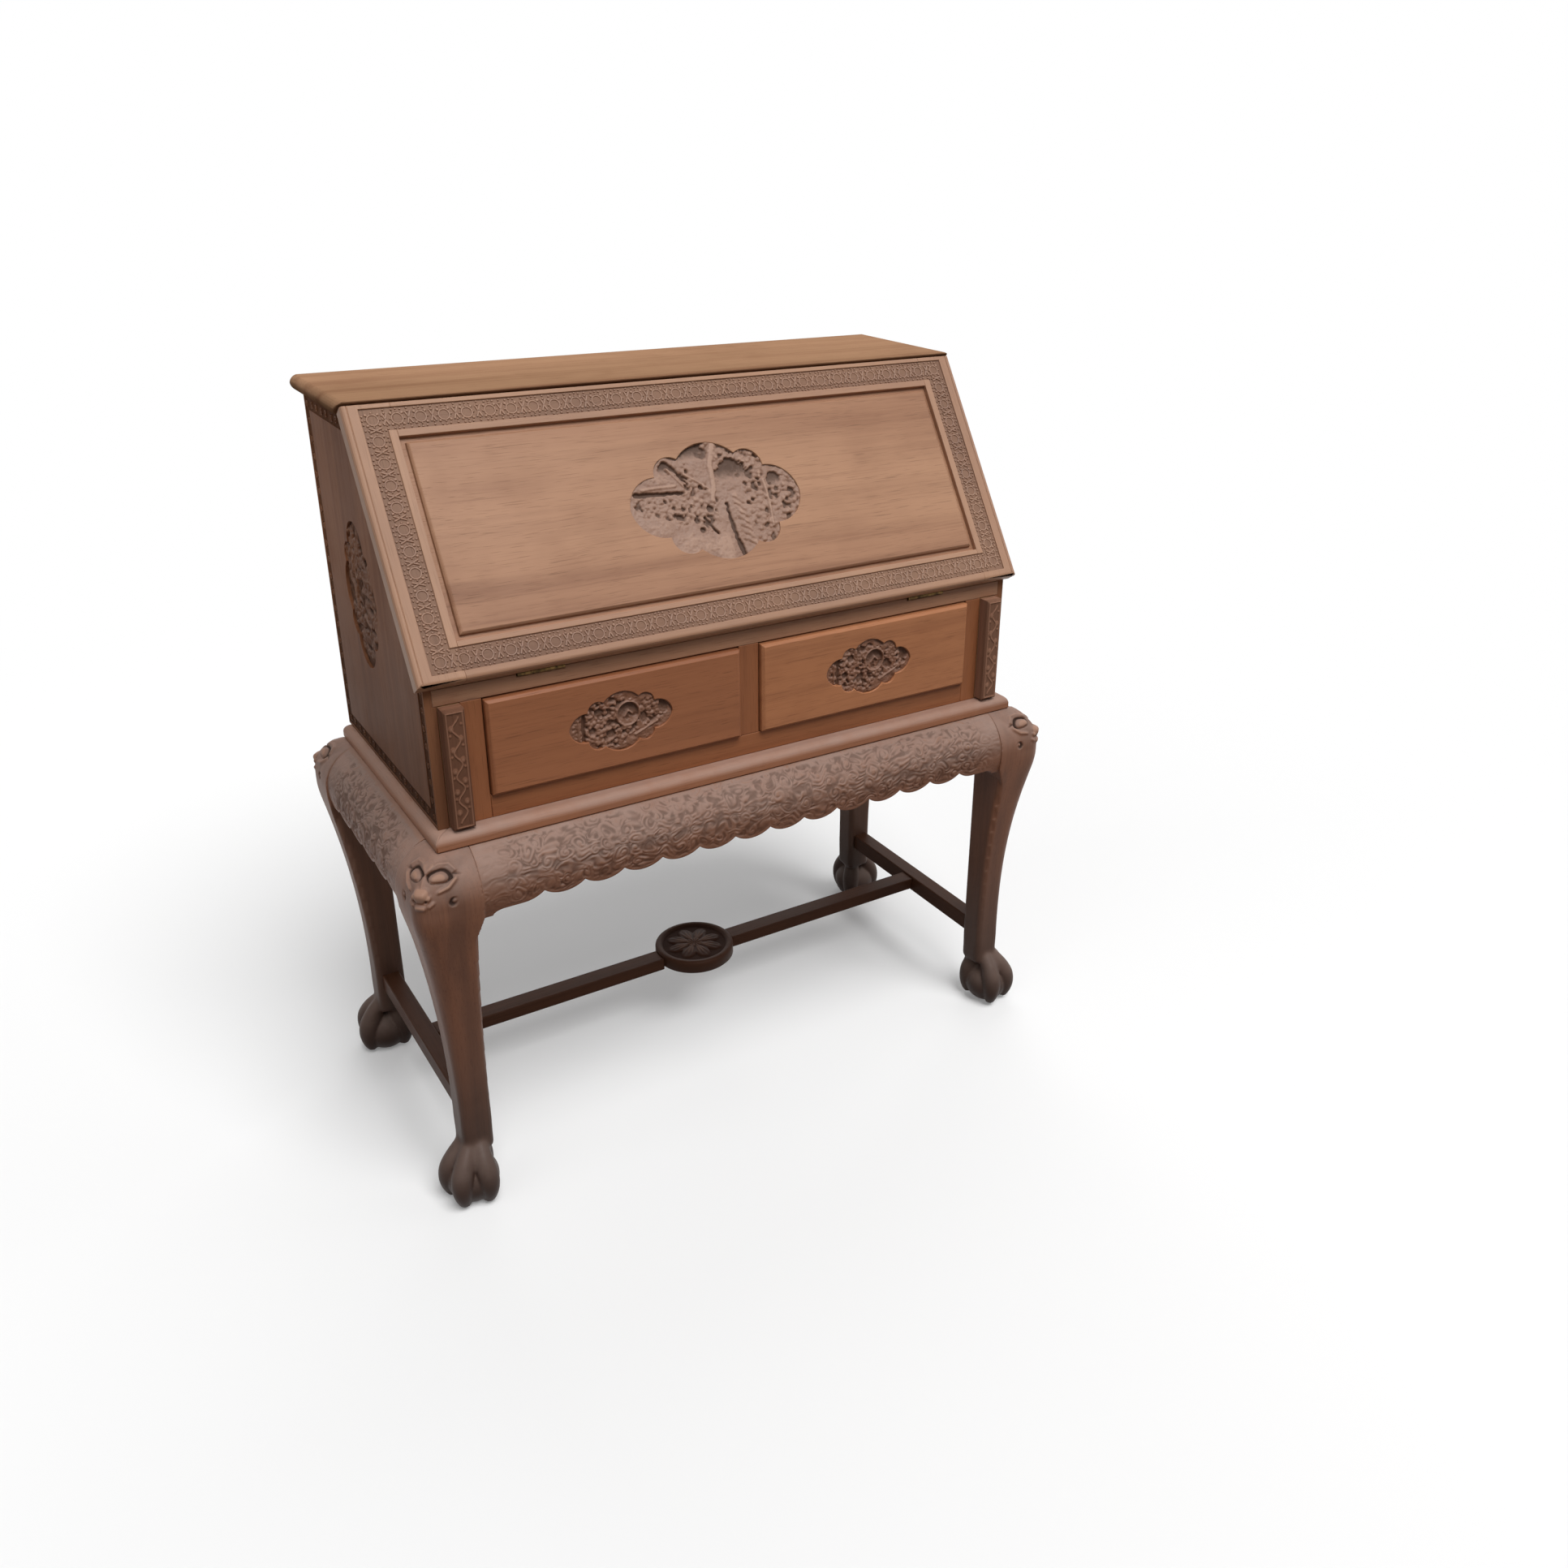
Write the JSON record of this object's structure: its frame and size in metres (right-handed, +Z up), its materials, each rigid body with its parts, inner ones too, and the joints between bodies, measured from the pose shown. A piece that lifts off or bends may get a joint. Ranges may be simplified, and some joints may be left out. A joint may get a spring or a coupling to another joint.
{
  "type": "slant-front bureau",
  "caption": "Slant-front writing bureau with a hinged fall, sliding lopers and drawers, on a stand with scalloped aprons, cabriole legs and claw feet.",
  "frame": {"origin": "on the floor under the middle of the stand", "axes": "+X right seen from the front, +Y to the back, +Z up"},
  "size_m": [1.012, 0.502, 1.07],
  "materials": {
    "stand_wood": "old satin varnish",
    "carcase_wood": "old satin varnish",
    "drawer_wood": "old satin varnish",
    "polished_wood": "worn polish",
    "fall_frame_wood": "worn polish",
    "writing_wood": "satin",
    "inner_wood": "bare",
    "hinge_brass": "dull"
  },
  "bodies": {
    "case": {"front_left_leg": "stand_wood", "front_right_leg": "stand_wood", "back_left_leg": "stand_wood", "back_right_leg": "stand_wood", "front_apron": "stand_wood", "back_apron": "stand_wood", "left_apron": "stand_wood", "right_apron": "stand_wood", "front_frame_rail": "carcase_wood", "right_frame_rail": "carcase_wood", "back_frame_rail": "carcase_wood", "left_frame_rail": "carcase_wood", "left_stretcher": "stand_wood", "right_stretcher": "stand_wood", "left_medial_stretcher": "stand_wood", "right_medial_stretcher": "stand_wood", "stretcher_roundel": "stand_wood", "left_side": "carcase_wood", "right_side": "carcase_wood", "bottom_rail": "carcase_wood", "left_partition": "carcase_wood", "right_partition": "carcase_wood", "centre_muntin": "carcase_wood", "back_panel": "inner_wood", "case_bottom": "inner_wood", "centre_guide": "inner_wood", "inside_shelf": "inner_wood", "inside_upper_dividers": "inner_wood", "inside_lower_dividers": "inner_wood", "top_board": "polished_wood", "writing_board": "writing_wood", "board_hinge_leaves": "hinge_brass", "hinge_pins": "hinge_brass"},
    "fall": {"fall_left_stile": "fall_frame_wood", "fall_right_stile": "fall_frame_wood", "fall_top_rail": "fall_frame_wood", "fall_bottom_rail": "fall_frame_wood", "fall_panel": "polished_wood", "fall_hinge_leaves": "hinge_brass"},
    "left_drawer": {"left_drawer_front": "drawer_wood", "left_drawer_sides": "inner_wood", "left_drawer_back": "inner_wood", "left_drawer_bottom": "inner_wood"},
    "left_loper": {"left_loper": "inner_wood", "left_loper_face": "drawer_wood"},
    "inside_left_drawer": {"inside_left_drawer_front": "writing_wood", "inside_left_drawer_box": "inner_wood", "inside_left_drawer_knob": "writing_wood"},
    "right_drawer": {"right_drawer_front": "drawer_wood", "right_drawer_sides": "inner_wood", "right_drawer_back": "inner_wood", "right_drawer_bottom": "inner_wood"},
    "right_loper": {"right_loper": "inner_wood", "right_loper_face": "drawer_wood"},
    "inside_right_drawer": {"inside_right_drawer_front": "writing_wood", "inside_right_drawer_box": "inner_wood", "inside_right_drawer_knob": "writing_wood"}
  },
  "joints": [
    {"name": "fall_hinge", "type": "hinge", "parent": "case", "child": "fall", "pos_m": [0, -0.19, 0.755], "axis": [1, 0, 0], "range_deg": [0, 123.35]},
    {"name": "left_drawer_slide", "type": "slide", "parent": "case", "child": "left_drawer", "axis": [0, -1, 0], "range_m": [0, 0.26]},
    {"name": "left_loper_slide", "type": "slide", "parent": "case", "child": "left_loper", "axis": [0, -1, 0], "range_m": [0, 0.28]},
    {"name": "inside_left_drawer_slide", "type": "slide", "parent": "case", "child": "inside_left_drawer", "axis": [0, -1, 0], "range_m": [0, 0.1]},
    {"name": "right_drawer_slide", "type": "slide", "parent": "case", "child": "right_drawer", "axis": [0, -1, 0], "range_m": [0, 0.26]},
    {"name": "right_loper_slide", "type": "slide", "parent": "case", "child": "right_loper", "axis": [0, -1, 0], "range_m": [0, 0.28]},
    {"name": "inside_right_drawer_slide", "type": "slide", "parent": "case", "child": "inside_right_drawer", "axis": [0, -1, 0], "range_m": [0, 0.1]}
  ]
}
